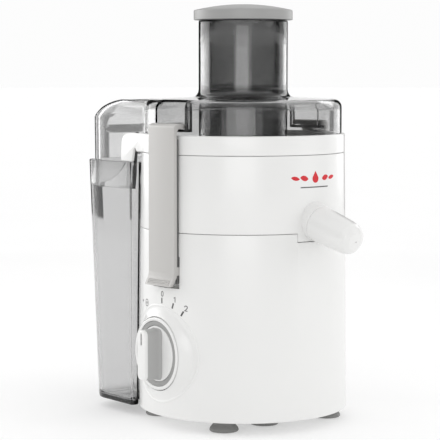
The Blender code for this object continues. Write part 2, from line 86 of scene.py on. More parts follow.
def camera():
    """The eye stands 1.5 m away at 0.3 m up, 43 degrees round to the left, with a long lens."""
    azimuth, height, distance = math.radians(CAMERA_AZIMUTH), 0.303, 1.49
    tilt, pan = math.radians(-4.99), math.radians(0.772)
    axis = MOVE.translation
    eye = Vector((axis.x + distance * math.sin(azimuth), axis.y - distance * math.cos(azimuth), height))
    data = bpy.data.cameras.new("camera")
    data.lens = 139.7
    data.sensor_width = 36
    obj = bpy.data.objects.new("camera", data)
    obj.location = eye
    obj.rotation_euler = (math.pi / 2 + tilt, 0, azimuth + pan)
    bpy.context.scene.collection.objects.link(obj)
    bpy.context.scene.camera = obj


def card(name, start, end, low, high, strength, radius=1.45):
    """A curved studio card from one angle to another, in degrees clockwise from the camera's side, seen from above.

    It shows in reflections and through clear plastic only, and lights or shades nothing else.
    """
    steps = 12
    turns = [math.radians(CAMERA_AZIMUTH - start - (end - start) * i / steps) for i in range(steps + 1)]
    bm = bmesh.new()
    rows = [[bm.verts.new((radius * math.sin(a), -radius * math.cos(a), z)) for a in turns] for z in (low, high)]
    for i in range(steps):
        bm.faces.new((rows[0][i], rows[0][i + 1], rows[1][i + 1], rows[1][i]))
    mesh = bpy.data.meshes.new(name)
    bm.to_mesh(mesh)
    bm.free()
    glow = bpy.data.materials.new(name + "_glow")
    glow.use_nodes = True
    tree = glow.node_tree
    tree.nodes.remove(tree.nodes["Principled BSDF"])
    emission = tree.nodes.new("ShaderNodeEmission")
    emission.inputs["Strength"].default_value = strength
    tree.links.new(emission.outputs["Emission"], tree.nodes["Material Output"].inputs["Surface"])
    mesh.materials.append(glow)
    obj = bpy.data.objects.new(name, mesh)
    bpy.context.scene.collection.objects.link(obj)
    obj.visible_camera = obj.visible_diffuse = obj.visible_shadow = obj.visible_volume_scatter = False


def area_light(name, angle, height, distance, size, power, size_y):
    """A soft light at an angle clockwise from the camera's side, aimed at the middle of the object."""
    turn = math.radians(CAMERA_AZIMUTH - angle)
    data = bpy.data.lights.new(name, "AREA")
    data.shape = "RECTANGLE"
    data.size = size
    data.size_y = size_y
    data.energy = power
    obj = bpy.data.objects.new(name, data)
    place = Vector((distance * math.sin(turn), -distance * math.cos(turn), height))
    obj.location = place
    obj.rotation_euler = (Vector((0, 0, 0.18)) - place).to_track_quat("-Z", "Y").to_euler()
    bpy.context.scene.collection.objects.link(obj)


def studio():
    """A white room, a pale floor, soft lights at both sides, and cards that draw the edges of the clear plastic."""
    scene = bpy.context.scene
    scene.view_settings.view_transform = "Standard"
    world = bpy.data.worlds.new("studio")
    world.use_nodes = True
    world.node_tree.nodes["Background"].inputs["Color"].default_value = (1, 1, 1, 1)
    world.node_tree.nodes["Background"].inputs["Strength"].default_value = 0.98
    scene.world = world
    area_light("side_left", 100, 0.7, 1.5, 0.7, 3.5, 1.2)
    area_light("side_right", -75, 0.6, 1.5, 0.7, 2.5, 1.2)
    card("card_front", -14, 18, 0.16, 1.0, 2.6)
    card("card_dark_left", 24, 98, 0.12, 1.1, 0.22)
    card("card_dark_right", -108, -22, 0.12, 1.1, 0.22)
    card("card_bright_left", 104, 142, 0.12, 1.3, 3.2)
    card("card_bright_right", -150, -128, 0.12, 1.3, 2.2)
    card("card_edge_left", 146, 170, 0.05, 1.3, 0.02)
    card("card_edge_right", -170, -154, 0.05, 1.3, 0.02)
    mesh = bpy.data.meshes.new("floor")
    bm = bmesh.new()
    bmesh.ops.create_circle(bm, cap_ends=True, segments=96, radius=30)
    bm.to_mesh(mesh)
    bm.free()
    floor = bpy.data.objects.new("floor", mesh)
    floor.location = (0, 0, -0.0002)
    scene.collection.objects.link(floor)
    paper, tree, shader = new_material("floor_paper")
    tree.links.new(two_tone(tree, noise(tree, 3, 2), (0.60, 0.60, 0.60), (0.61, 0.61, 0.61)),
                   shader.inputs["Base Color"])
    shader.inputs["Emission Color"].default_value = (1, 1, 1, 1)
    shader.inputs["Emission Strength"].default_value = 0.37
    shader.inputs["Roughness"].default_value = 0.8
    mesh.materials.append(paper)


# ---------------------------------------------------------------- materials

def new_material(name):
    made = bpy.data.materials.new(name)
    made.use_nodes = True
    tree = made.node_tree
    return made, tree, tree.nodes["Principled BSDF"]


def noise(tree, scale, detail=4.0, roughness=0.55, stretch=None):
    """Object-space noise, in cells per metre; stretch multiplies the scale along X, Y and Z."""
    coords = tree.nodes.new("ShaderNodeTexCoord")
    out = tree.nodes.new("ShaderNodeTexNoise")
    out.inputs["Scale"].default_value = scale
    out.inputs["Detail"].default_value = detail
    out.inputs["Roughness"].default_value = roughness
    source = coords.outputs["Object"]
    if stretch:
        mapping = tree.nodes.new("ShaderNodeMapping")
        mapping.inputs["Scale"].default_value = stretch
        tree.links.new(source, mapping.inputs["Vector"])
        source = mapping.outputs["Vector"]
    tree.links.new(source, out.inputs["Vector"])
    return out.outputs["Fac"]


def spread(tree, factor, low, high):
    """Map a 0.3 to 0.7 texture value onto low to high."""
    out = tree.nodes.new("ShaderNodeMapRange")
    out.inputs["From Min"].default_value = 0.3
    out.inputs["From Max"].default_value = 0.7
    out.inputs["To Min"].default_value = low
    out.inputs["To Max"].default_value = high
    tree.links.new(factor, out.inputs["Value"])
    return out.outputs["Result"]


def two_tone(tree, factor, first, second):
    ramp = tree.nodes.new("ShaderNodeValToRGB")
    ramp.color_ramp.elements[0].position = 0.35
    ramp.color_ramp.elements[1].position = 0.65
    ramp.color_ramp.elements[0].color = (*first, 1)
    ramp.color_ramp.elements[1].color = (*second, 1)
    tree.links.new(factor, ramp.inputs["Fac"])
    return ramp.outputs["Color"]


def bump(tree, shader, factor, strength, distance):
    node = tree.nodes.new("ShaderNodeBump")
    node.inputs["Strength"].default_value = strength
    node.inputs["Distance"].default_value = distance
    tree.links.new(factor, node.inputs["Height"])
    tree.links.new(node.outputs["Normal"], shader.inputs["Normal"])


def shade(colour, amount):
    return tuple(min(max(c * amount, 0), 1) for c in colour)


def plastic(name, colour, roughness, grain=900, depth=0.00004, variation=0.006, coat=0.0, uneven=0.12):
    """Moulded plastic: a slight change of tone, a fine mould texture in bump, and uneven gloss."""
    made, tree, shader = new_material(name)
    slow = noise(tree, 14, 3)
    fine = noise(tree, grain, 2)
    tone = two_tone(tree, slow, shade(colour, 1 - variation), shade(colour, 1 + variation))
    tree.links.new(tone, shader.inputs["Base Color"])
    gloss = spread(tree, noise(tree, 60, 4), roughness * (1 - uneven), roughness * (1 + uneven))
    tree.links.new(gloss, shader.inputs["Roughness"])
    bump(tree, shader, fine, 0.25, depth)
    shader.inputs["Coat Weight"].default_value = coat
    shader.inputs["Coat Roughness"].default_value = 0.1
    return made


def smoke(name, density, roughness=0.03, tint=(0.0, 0.0, 0.0)):
    """Clear moulded plastic with a grey dye: the dye darkens light by the thickness that it crosses."""
    made, tree, shader = new_material(name)
    shader.inputs["Base Color"].default_value = (1, 1, 1, 1)
    shader.inputs["Transmission Weight"].default_value = 1.0
    shader.inputs["IOR"].default_value = 1.49
    tree.links.new(spread(tree, noise(tree, 45, 3), roughness * 0.6, roughness * 1.6), shader.inputs["Roughness"])
    bump(tree, shader, noise(tree, 30, 2), 0.06, 0.0003)
    dye = tree.nodes.new("ShaderNodeVolumeAbsorption")
    dye.inputs["Color"].default_value = (*tint, 1)
    dye.inputs["Density"].default_value = density
    tree.links.new(dye.outputs["Volume"], tree.nodes["Material Output"].inputs["Volume"])
    return made


def metal(name, colour, roughness, stretch=(1, 1, 40), scale=120, depth=0.00002):
    """Metal with fine drawn or turned lines along one direction."""
    made, tree, shader = new_material(name)
    shader.inputs["Metallic"].default_value = 1.0
    lines = noise(tree, scale, 5, 0.6, stretch)
    tree.links.new(two_tone(tree, lines, shade(colour, 0.88), shade(colour, 1.08)), shader.inputs["Base Color"])
    tree.links.new(spread(tree, lines, roughness * 0.75, roughness * 1.3), shader.inputs["Roughness"])
    bump(tree, shader, lines, 0.3, depth)
    return made


def laminated(name):
    """A stack of thin steel sheets: level bands up the height."""
    made, tree, shader = new_material(name)
    shader.inputs["Metallic"].default_value = 0.8
    coords = tree.nodes.new("ShaderNodeTexCoord")
    wave = tree.nodes.new("ShaderNodeTexWave")
    wave.bands_direction = "Z"
    wave.inputs["Scale"].default_value = 320
    wave.inputs["Distortion"].default_value = 0.6
    tree.links.new(coords.outputs["Object"], wave.inputs["Vector"])
    tree.links.new(two_tone(tree, wave.outputs["Fac"], (0.12, 0.12, 0.13), (0.3, 0.3, 0.31)),
                   shader.inputs["Base Color"])
    tree.links.new(spread(tree, noise(tree, 200), 0.35, 0.6), shader.inputs["Roughness"])
    bump(tree, shader, wave.outputs["Fac"], 0.5, 0.0002)
    return made


def wound(name):
    """Enamelled copper wire, wound in close turns."""
    made, tree, shader = new_material(name)
    shader.inputs["Metallic"].default_value = 0.9
    coords = tree.nodes.new("ShaderNodeTexCoord")
    wave = tree.nodes.new("ShaderNodeTexWave")
    wave.bands_direction = "DIAGONAL"
    wave.inputs["Scale"].default_value = 420
    wave.inputs["Distortion"].default_value = 1.5
    tree.links.new(coords.outputs["Object"], wave.inputs["Vector"])
    tree.links.new(two_tone(tree, wave.outputs["Fac"], (0.3, 0.1, 0.03), (0.8, 0.36, 0.14)),
                   shader.inputs["Base Color"])
    tree.links.new(spread(tree, noise(tree, 300), 0.2, 0.45), shader.inputs["Roughness"])
    bump(tree, shader, wave.outputs["Fac"], 0.7, 0.0003)
    return made


WHITE = plastic("white_gloss", (0.80, 0.80, 0.79), 0.3, coat=0.25, uneven=0.03)
CLAMP = plastic("warm_grey_satin", (0.50, 0.49, 0.475), 0.36, grain=1100)
CAP = plastic("mid_grey_satin", (0.33, 0.33, 0.325), 0.42, grain=1000, depth=0.00006)
KNOB_GREY = plastic("knob_grey_satin", (0.33, 0.33, 0.325), 0.4)
SMOKE = smoke("smoke_clear", 115)
SMOKE_DARK = smoke("smoke_dark", 420, 0.06)
GRIP_SIDE = plastic("grip_side_grey", (0.42, 0.42, 0.415), 0.4)
RUBBER = plastic("foot_rubber_grey", (0.22, 0.22, 0.215), 0.62, grain=1500, depth=0.0001, variation=0.06)
PAINTED_SHADOW_GREY = plastic("clamp_painted_shadow_grey", (0.11, 0.11, 0.108), 0.5)
# Painted shade: a near-black grey for the clamps' edge strips, standing in for the shadow in the gap between each clamp
# and the body.
BLACK = plastic("black_satin", (0.02, 0.02, 0.02), 0.45)
PRINT = plastic("dial_print_grey", (0.09, 0.09, 0.09), 0.5)
RED = plastic("accent_red", (0.62, 0.01, 0.02), 0.35)
STEEL = metal("turned_steel", (0.6, 0.6, 0.61), 0.28)
SIEVE = metal("sieve_steel", (0.55, 0.55, 0.56), 0.34, (1, 1, 1), 700, 0.0001)
LAMINATION = laminated("lamination_steel")
COPPER = wound("copper_winding")
CARBON = plastic("carbon_block", (0.02, 0.02, 0.022), 0.7, grain=2500, depth=0.0002, variation=0.2)


# ---------------------------------------------------------------- mesh tools

def make(name, bm, material, place=None, sharp=38, merge=2e-3):
    """A new object from a bmesh drawn in millimetres, placed by a matrix in millimetres, then moved to the frame."""
    bmesh.ops.remove_doubles(bm, verts=bm.verts, dist=merge)
    bmesh.ops.recalc_face_normals(bm, faces=bm.faces)
    if bm.calc_volume(signed=True) < 0:
        bmesh.ops.reverse_faces(bm, faces=bm.faces)
    if place is not None:
        bmesh.ops.transform(bm, matrix=place, verts=bm.verts)
    bmesh.ops.scale(bm, vec=(MM, MM, MM), verts=bm.verts)
    bmesh.ops.transform(bm, matrix=MOVE, verts=bm.verts)
    mesh = bpy.data.meshes.new(name)
    bm.to_mesh(mesh)
    bm.free()
    mesh.shade_smooth()
    mesh.set_sharp_from_angle(angle=math.radians(sharp))
    mesh.materials.append(material)
    obj = bpy.data.objects.new(name, mesh)
    bpy.context.scene.collection.objects.link(obj)
    return obj


def rounded(points, closed=True, steps=5):
    """Give each (r, z, radius) corner of an outline its fillet; a corner without a radius stays sharp."""
    found = []
    count = len(points)
    for i, point in enumerate(points):
        here = Vector(point[:2])
        radius = point[2] if len(point) > 2 else 0
        if not radius or (not closed and i in (0, count - 1)):
            found.append(tuple(here))
            continue
        before = Vector(points[i - 1][:2]) - here
        after = Vector(points[(i + 1) % count][:2]) - here
        angle = before.angle(after)
        reach = min(radius / math.tan(angle / 2), before.length * 0.49, after.length * 0.49)
        start, end = here + before.normalized() * reach, here + after.normalized() * reach
        for k in range(steps + 1):
            t = k / steps
            found.append(tuple(start * (1 - t) ** 2 + here * 2 * t * (1 - t) + end * t * t))
    return found


def ring_stack(rings, closed=False):
    """Join rings of 3-D points one to the next; the ends are capped, or joined when closed."""
    bm = bmesh.new()
    made = [[bm.verts.new(point) for point in ring] for ring in rings]
    count = len(rings[0])
    pairs = list(zip(made, made[1:])) + ([(made[-1], made[0])] if closed else [])
    for low, high in pairs:
        for i in range(count):
            j = (i + 1) % count
            bm.faces.new((low[i], low[j], high[j], high[i]))
    if not closed:
        bm.faces.new(made[0])
        bm.faces.new(made[-1])
    return bm


def lathe_mesh(profile, segments=FINE, closed=True):
    """Turn an outline of (radius, height) about Z. An open outline is capped where it starts and ends."""
    turn = [(math.cos(math.tau * i / segments), math.sin(math.tau * i / segments)) for i in range(segments)]
    return ring_stack([[(r * c, r * s, z) for c, s in turn] for r, z in profile], closed)


def lathe(name, points, material, segments=FINE, closed=True, place=None, steps=5):
    return make(name, lathe_mesh(rounded(points, closed, steps), segments, closed), material, place)


def prism(outline, low, high):
    return ring_stack([[(x, y, low) for x, y in outline], [(x, y, high) for x, y in outline]])


def box_mesh(low, high):
    outline = [(low[0], low[1]), (high[0], low[1]), (high[0], high[1]), (low[0], high[1])]
    return prism(outline, low[2], high[2])


def facing(origin, forward, up=(0, 0, 1)):
    z = Vector(forward).normalized()
    x = Vector(up).cross(z).normalized()
    turn = Matrix((x, z.cross(x), z)).transposed().to_4x4()
    turn.translation = Vector(origin)
    return turn


def apply_boolean(obj, cutter, operation="DIFFERENCE"):
    modifier = obj.modifiers.new("boolean", "BOOLEAN")
    modifier.object = cutter
    modifier.operation = operation
    modifier.solver = "EXACT"
    settle(obj)
    bpy.data.objects.remove(cutter, do_unlink=True)


def settle(obj, sharp=38):
    """Make the object's modifiers part of its mesh."""
    graph = bpy.context.evaluated_depsgraph_get()
    mesh = bpy.data.meshes.new_from_object(obj.evaluated_get(graph))
    old = obj.data
    obj.modifiers.clear()
    obj.data = mesh
    bpy.data.meshes.remove(old)
    mesh.shade_smooth()
    mesh.set_sharp_from_angle(angle=math.radians(sharp))


def bevel(obj, width, segments=3, angle=40):
    modifier = obj.modifiers.new("bevel", "BEVEL")
    modifier.width = width * MM
    modifier.segments = segments
    modifier.limit_method = "ANGLE"
    modifier.angle_limit = math.radians(angle)
    modifier.harden_normals = False
    settle(obj)


def finish_piece(obj, body, slot, *nodes):
    if nodes:
        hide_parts(*nodes)
    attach(obj, body)
    return obj


def knob_place(distance=0.0):
    angle = math.radians(KNOB_AZIMUTH)
    direction = Vector((-math.sin(angle), -math.cos(angle), 0))
    return facing(direction * distance + Vector((0, 0, KNOB_HEIGHT)), direction)


def spout_place(along=0.0):
    slope = math.radians(SPOUT_SLOPE)
    direction = Vector((0, -math.cos(slope), -math.sin(slope)))
    return facing(Vector((0, -SPOUT_START, SPOUT_HEIGHT)) + direction * along, direction)


# ---------------------------------------------------------------- white body

def cutter(name, bm, place=None):
    return make(name, bm, WHITE, place)


def add_plug(shell, plug):
    """Thicken the shell with a plug, cut off inside the body's outer face."""
    apply_boolean(plug, cutter("limit", lathe_mesh([(90.4, 5), (88.2, 240)], FINE, closed=False)), "INTERSECT")
    apply_boolean(shell, plug, "UNION")


def body_depth(across, up):
    """How far the body's surface stands from the drive axis, along the knob's axis."""
    return math.sqrt(body_radius(KNOB_HEIGHT + up) ** 2 - across ** 2)


SURROUND_INNER, SURROUND_TOP = 31.9, 92.8
SURROUND_EDGE, SURROUND_STRETCH = 41.0, 1.03


def knob_surround():
    """The soft hollow slope round the knob, from beside the dial's rim down to the body's curve."""
    rings = []
    for i in range(FINE):
        c, s = math.cos(math.tau * i / FINE), math.sin(math.tau * i / FINE)
        outline = [(31.5, 82.4), (31.5, 92.3), (SURROUND_INNER, SURROUND_TOP)]
        edge = body_depth(SURROUND_EDGE * SURROUND_STRETCH * c, SURROUND_EDGE * s)
        for share in (0.1, 0.2, 0.32, 0.45, 0.6, 0.75, 0.9, 1.0):
            radius = SURROUND_INNER + (SURROUND_EDGE - SURROUND_INNER) * share
            outline.append((radius, SURROUND_TOP + (edge + 0.1 - SURROUND_TOP) * (1 - (1 - share) ** 2)))
        outline.append((SURROUND_EDGE, edge - 0.9))
        ring = []
        for radius, height in outline:
            share = min(max((radius - SURROUND_INNER) / (SURROUND_EDGE - SURROUND_INNER), 0), 1)
            wide = 1 + (SURROUND_STRETCH - 1) * share
            ring.append((radius * wide * c, radius * s, height))
        rings.append(ring)
    surround = make("knob_surround", ring_stack(rings, closed=True), WHITE, knob_place())
    finish_piece(surround, "base", "white_plastic")


def base_housing():
    """The motor base: a turned shell with a round well for the knob, clamp pockets and a notch for the spout."""
    wall = 2.8
    top, low = body_radius(BASE_TOP), body_radius(BASE_BOTTOM)
    shell = lathe("base_shell", [
        (low, BASE_BOTTOM, 2.4), (top, BASE_TOP, 0.7), (top - wall, BASE_TOP), (top - wall, 160),
        (12.5, 160, 0.8), (12.5, 163, 0.8), (9, 163, 0.5), (9, 157.5), (top - wall, 157.5),
        (low - wall, BASE_BOTTOM + 0.1)], WHITE)
    plug = cutter("plug", lathe_mesh([(42, 79.8), (42, 89.9)], 64, closed=False), knob_place())
    add_plug(shell, plug)
    well = [(4, 70), (4, 83), (31.8, 83), (31.8, 97), (0.5, 97)]
    apply_boolean(shell, cutter("well", lathe_mesh(well, ROUND, closed=False), knob_place()))
    for sign in (-1, 1):
        low_x, high_x = sorted((sign * 78.4, sign * 100))
        plug = cutter("plug", box_mesh((low_x, -22.2, 116.9), (high_x, 22.2, 150.4)))
        add_plug(shell, plug)
        low_x, high_x = sorted((sign * 80.8, sign * 101))
        apply_boolean(shell, cutter("pocket", box_mesh((low_x, -16.8, 121.0), (high_x, 16.8, 148))))
    apply_boolean(shell, cutter("notch", box_mesh((-19.3, -100, 160.6), (19.3, -60, 175))))
    finish_piece(shell, "base", "white_plastic", "base_housing")


def dish_ridge():
    """The soft raised edge of the knob's surround, which follows the body's curve."""
    angle = math.radians(KNOB_AZIMUTH)
    forward = Vector((-math.sin(angle), -math.cos(angle), 0))
    side = Vector((0, 0, 1)).cross(forward)
    rings = []
    for i in range(160):
        turn = math.tau * i / 160
        middle = []
        for radius in (SURROUND_EDGE - 0.6, SURROUND_EDGE + 0.8):
            across, up = radius * SURROUND_STRETCH * math.cos(turn), radius * math.sin(turn)
            middle.append(forward * body_depth(across, up) + side * across + Vector((0, 0, KNOB_HEIGHT + up)))
        centre = (middle[0] + middle[1]) / 2
        along = (middle[1] - middle[0]).normalized()
        out = Vector((centre.x, centre.y, 0)).normalized()
        ring = []
        for k in range(10):
            a = math.tau * k / 10
            ring.append(tuple(centre + along * 1.2 * math.cos(a) + out * (0.5 * math.sin(a) - 0.1)))
        rings.append(ring)
    ridge = make("knob_dish_ridge", ring_stack(rings, closed=True), WHITE)
    finish_piece(ridge, "base", "white_plastic")


def juice_bowl():
    """The juice bowl: its wall, the apron that fills the base's notch, and the spout's boss and stub."""
    top, low = body_radius(BOWL_TOP), body_radius(BOWL_BOTTOM)
    bowl = lathe("juice_bowl_shell", [
        (low, BOWL_BOTTOM, 0.7), (top, BOWL_TOP, 0.7), (top - 2.4, BOWL_TOP, 0.6), (low - 2.6, 174.5, 2), (84, 172.8),
        (19.8, 176.5, 2), (19.8, 188, 0.8), (17.6, 188, 0.6), (17.6, 164), (19.8, 164), (19.8, 174), (84.2, 170.3),
        (84.2, 160.8), (86.1, 160.8), (86.1, BOWL_BOTTOM)], WHITE)
    apron = cutter("apron", lathe_mesh([(85.4, 161.2), (body_radius(161.2) - 0.05, 161.2),
                                        (body_radius(169.5) - 0.05, 169.5), (85.4, 169.5)]))
    apply_boolean(apron, cutter("apron_box", box_mesh((-18.9, -95, 160), (18.9, -70, 172))), "INTERSECT")
    apply_boolean(bowl, apron, "UNION")
    boss = rounded([(0.5, -7), (15.6, -7), (15.6, 5, 0.9), (8.6, 5), (8.6, 14, 0.6), (0.5, 14)], False)
    apply_boolean(bowl, cutter("boss", lathe_mesh(boss, ROUND, closed=False), spout_place()), "UNION")
    apply_boolean(bowl, cutter("bore", lathe_mesh([(6.2, -9.5), (6.2, 20)], 48, closed=False), spout_place()))
    finish_piece(bowl, "base", "white_plastic", "juice_bowl", "bowl_floor", "spout_socket")


def spout():
    """A round-nosed tube over the bowl's stub, with its outlet underneath."""
    tube = lathe("spout_tube", [
        (15.5, 5.2, 0.5), (15.4, 8), (14.6, 26), (14.2, 35), (13.4, 41.2, 2), (11.6, 45.4, 2.5), (7.4, 47.8, 3),
        (0.6, 48.5), (0.6, 43.8), (6, 42.8), (10, 39.2), (11, 35.2), (11, 5.3, 0.5)], WHITE, ROUND, place=spout_place())
    place = spout_place() @ Matrix.Translation((0, 0, 33.2)) @ facing((0, 0, 0), (0, -1, 0))
    apply_boolean(tube, cutter("outlet", lathe_mesh([(8, 2), (8, 25)], 64, closed=False), place))
    finish_piece(tube, "outlet", "white_plastic", "spout")


def ear_outline():
    """One ear from the side, as (Y, Z): a bridge from the body to the container's rim, then a hook down."""
    return rounded([(40, 249.2), (76.2, 249.2, 11), (77.5, 224.75, 0.8), (62.4, 224.75, 0.8), (59.6, 236.2, 2.2),
                    (57.2, 236.2, 2.5), (56.2, 233.35), (40, 233.35)], steps=8)


def pulp_collar():
    """The collar ring between bowl and lid, with a gate at the rear, a drip ramp and the two ears."""
    outer = 88.6
    ring = lathe("collar_ring", [
        (outer, COLLAR_BOTTOM, 0.6), (outer - 0.1, COLLAR_TOP, 1.6), (83.9, COLLAR_TOP, 0.5), (83.9, 247.2),
        (86.2, 246.4), (86.2, 238.4), (77.4, 238.4), (77.0, 242.0, 0.5), (75.6, 242.0, 0.5), (75.6, 230.5),
        (77, 230.5), (77.4, 236.2), (83.6, 236.2), (83.6, 230.8), (85.6, 230.8), (85.8, COLLAR_BOTTOM)], WHITE)
    apply_boolean(ring, cutter("gate", box_mesh((-64, 50, 238.4), (64, 100, 260))))
    ramp = cutter("ramp", lathe_mesh([(82.5, 236.45), (95.4, 229.45), (96.5, 231.2), (84.5, 238.3), (82.5, 238.3)]))
    apply_boolean(ramp, cutter("ramp_box", box_mesh((-58, 60, 220), (58, 110, 245))), "INTERSECT")
    apply_boolean(ring, ramp, "UNION")
    for low, high in ((-74.4, -71.5), (71.5, 74.4)):
        ear = make("ear", prism(ear_outline(), low, high), WHITE, facing((0, 0, 0), (1, 0, 0)))
        bevel(ear, 0.8, 3, 60)
        apply_boolean(ear, cutter("ear_trim", lathe_mesh([(87.2, 200), (87.2, 260)], FINE, closed=False)))
        apply_boolean(ring, ear, "UNION")
    finish_piece(ring, "base", "white_plastic", "pulp_collar")


def bottom_plate():
    """The underside: a flat plate with a ring of cooling slots and the screw holes."""
    edge = body_radius(13) - 3.3
    plate = lathe("base_underside", [(0.5, 10.9), (edge, 10.9, 0.5), (edge, 13.2, 0.4), (0.5, 13.2)], WHITE,
                  closed=False)
    for i in range(18):
        angle = math.radians(10 * i + 5) * 2
        x, y = 24 * math.cos(angle), 24 * math.sin(angle)
        slot = box_mesh((-9, -1.4, 9), (9, 1.4, 15))
        turn = Matrix.Translation((x, y, 0)) @ Matrix.Rotation(angle, 4, "Z")
        apply_boolean(plate, cutter("slot", slot, turn))
    for degrees in (70, 110, 250, 290):
        angle = math.radians(degrees)
        place = Matrix.Translation((70 * math.cos(angle), 70 * math.sin(angle), 0))
        apply_boolean(plate, cutter("hole", lathe_mesh([(2.2, 9), (2.2, 15)], 32, closed=False), place))
    finish_piece(plate, "base", "white_plastic", "bottom_plate")


FEET = {"front_left": (-57, -38), "front_right": (51, -53), "front_centre": (-12, -40),
        "rear_left": (-51, 53), "rear_right": (57, 38)}


def feet():
    """Five suction feet: a soft cup below a narrower neck."""
    for name, (x, y) in FEET.items():
        foot = lathe("foot_" + name, [
            (0.5, 2.0), (7.4, 1.6, 0.4), (8.4, 0, 0.3), (11.6, 0, 0.6), (12.5, 0.9, 0.8), (11.9, 3.0, 2),
            (9.2, 6.2, 2.5), (9.0, 10.3, 0.3), (0.5, 10.3)], RUBBER, 64, closed=False,
            place=Matrix.Translation((x, y, 0)))
        finish_piece(foot, "base", "foot_rubber", "suction_foot_" + name)


# ---------------------------------------------------------------- smoke-tinted mouldings

def cover_reach(angles, height, inset):
    """How far the pulp cover's wall stands from the drive axis, in each direction, at a height."""
    front_half, rear_half, corner = COVER_FRONT_HALF - inset, COVER_REAR_HALF - inset, COVER_CORNER
    rear = COVER_REAR - inset - 1.4 * max(COVER_BEND_HEIGHT - height, 0) / 50
    points = [(front_half, 20.0)]
    for i in range(25):
        a = math.pi / 2 * i / 24
        points.append((rear_half - corner + corner * math.cos(a), rear - corner + corner * math.sin(a)))
    points += [(-x, y) for x, y in reversed(points)]
    directions = [math.atan2(y, x) for x, y in points]
    reach = np.interp(angles, directions, [math.hypot(x, y) for x, y in points], left=0, right=0)
    # Straight stretches are longer than a straight blend of their ends' reach, so they are worked out exactly.
    side = (angles > directions[0]) & (angles < directions[1])
    slope = (rear_half - front_half) / (rear - corner - 20.0)
    exact = (front_half - slope * 20.0) / (np.cos(angles) - slope * np.sin(angles))
    reach = np.where(side, exact, reach)
    other = (angles > directions[-2]) & (angles < directions[-1])
    exact = (front_half - slope * 20.0) / (-np.cos(angles) - slope * np.sin(angles))
    reach = np.where(other, exact, reach)
    back = (angles > directions[25]) & (angles < directions[26])
    return np.where(back, rear / np.maximum(np.sin(angles), 0.1), reach)


def smooth_max(a, b, blend):
    share = np.clip(0.5 + 0.5 * (a - b) / blend, 0, 1)
    return b + (a - b) * share + blend * share * (1 - share)


POCKET_ANGLE = math.asin(18.2 / LID_RADIUS)


def lid_angles():
    """Directions round the lid, from -90 to 270 degrees, closer together where its outline turns quickly."""
    marks = []
    for side in (0.0, math.pi):
        for edge in (-POCKET_ANGLE, POCKET_ANGLE):
            marks += [side + edge - 0.005, side + edge + 0.005, side + edge - 0.03, side + edge + 0.03]
    for front in (math.radians(41.8), math.radians(44.8)):
        marks += [front, math.pi - front, front - 0.012, math.pi - front + 0.012]
    even = np.linspace(-math.pi / 2, 1.5 * math.pi, 252, endpoint=False)
    fold = np.radians(np.linspace(29, 41, 14))
    return np.unique(np.round(np.concatenate([even, marks, fold, math.pi - fold]), 5))


def lid_reach(angles, height, inset):
    """The lid's wall in plan: the round lid and the pulp cover, run together with a small fold."""
    wrapped = np.where(angles < 0, angles + math.tau, angles)
    cover = cover_reach(np.where(wrapped > 1.5 * math.pi, 0, wrapped), height, inset)
    return smooth_max(np.full_like(angles, LID_RADIUS - inset), cover, 3.0 - 0.5 * inset)


def notched(angles, reach, inset):
    """The clamp pockets: the wall stands further in beside each clamp."""
    half = POCKET_ANGLE + inset / 85.0 * 1.2  # The inner wall leaves room for its own thickness.
    away = np.minimum(np.abs(angles), np.abs(angles - math.pi))
    floor = (77.2 - inset) / np.maximum(np.abs(np.cos(angles)), 0.5)
    return np.where(away < half, np.minimum(floor, reach), reach)


def skirt_low(angles):
    """The lower edge: level round the lid, and down into the container behind, with sloping front edges."""
    away = np.minimum(angles, math.pi - angles)
    share = np.clip((np.degrees(away) - 41.8) / 3.0, 0, 1)
    return LID_BOTTOM + (SKIRT_BOTTOM - LID_BOTTOM) * share


def top_height(x, y, inset):
    """The height of the lid's top: a slight cone, rounded off at its rim, at the cover's sides and down its rear."""
    radius = np.hypot(x, y)
    cone = 278.9 + 1.5 * np.clip((78.7 - radius) / 34.5, -0.6, 1.2) - inset
    rim = 7.0
    over = np.clip((radius - (LID_RADIUS - inset - rim)) / rim, 0, 1)
    lid_side = cone - rim + rim * np.sqrt(np.maximum(1 - over ** 2, 0))
    half = COVER_FRONT_HALF - 3.6 * np.clip((y - 20) / 88, 0, 1) - inset
    side = np.clip((np.abs(x) - (half - 9)) / 9, 0, 1)
    back = np.clip((y - COVER_BEND_START) / (58.0 - inset), 0, 1)
    rear_top = COVER_BEND_HEIGHT + (28.6 - inset) * np.sqrt(np.maximum(1 - back ** 2, 0))
    corner = np.hypot(np.clip(np.abs(x) - (half - COVER_CORNER), 0, COVER_CORNER),
                      np.clip(y - (COVER_REAR - inset - COVER_CORNER), 0, COVER_CORNER))
    rear_top = rear_top - 3.5 * np.clip((corner - 17) / 10, 0, 1) ** 2
    cover_side = np.minimum(cone, rear_top) - 9 * (1 - np.sqrt(np.maximum(1 - side ** 2, 0)))
    on_cover = np.clip((y - 40) / 14, 0, 1)
    inside_cover = np.where(np.abs(x) < half + 0.2, cover_side, -1e3)
    inside_lid = np.where(radius < LID_RADIUS - inset + 0.01, lid_side, -1e3)
    highest = np.maximum(inside_lid, inside_cover)
    return np.where((on_cover > 0) & (highest > 0), highest, lid_side)


def wall_rings(angles, inset, low):
    """Rings up the lid's wall: skirt, ledge of the clamp pockets, and on to the start of the top."""
    rings = []
    for share in (0.0, 0.03, 0.5, 0.9, 1.0):
        z = low + (LEDGE - inset - low) * share
        plan = lid_reach(angles, 225.0 + 25 * share, inset)
        rings.append((plan, z))
    plan = lid_reach(angles, 250, inset)
    cut = notched(angles, plan, inset)
    rings.append((cut, np.full_like(angles, LEDGE - inset)))
    top = top_height(cut * np.cos(angles), cut * np.sin(angles), inset)
    for share in (0.33, 0.66, 1.0):
        rings.append((cut, (LEDGE - inset) + (top - (LEDGE - inset)) * share))
    return rings, cut


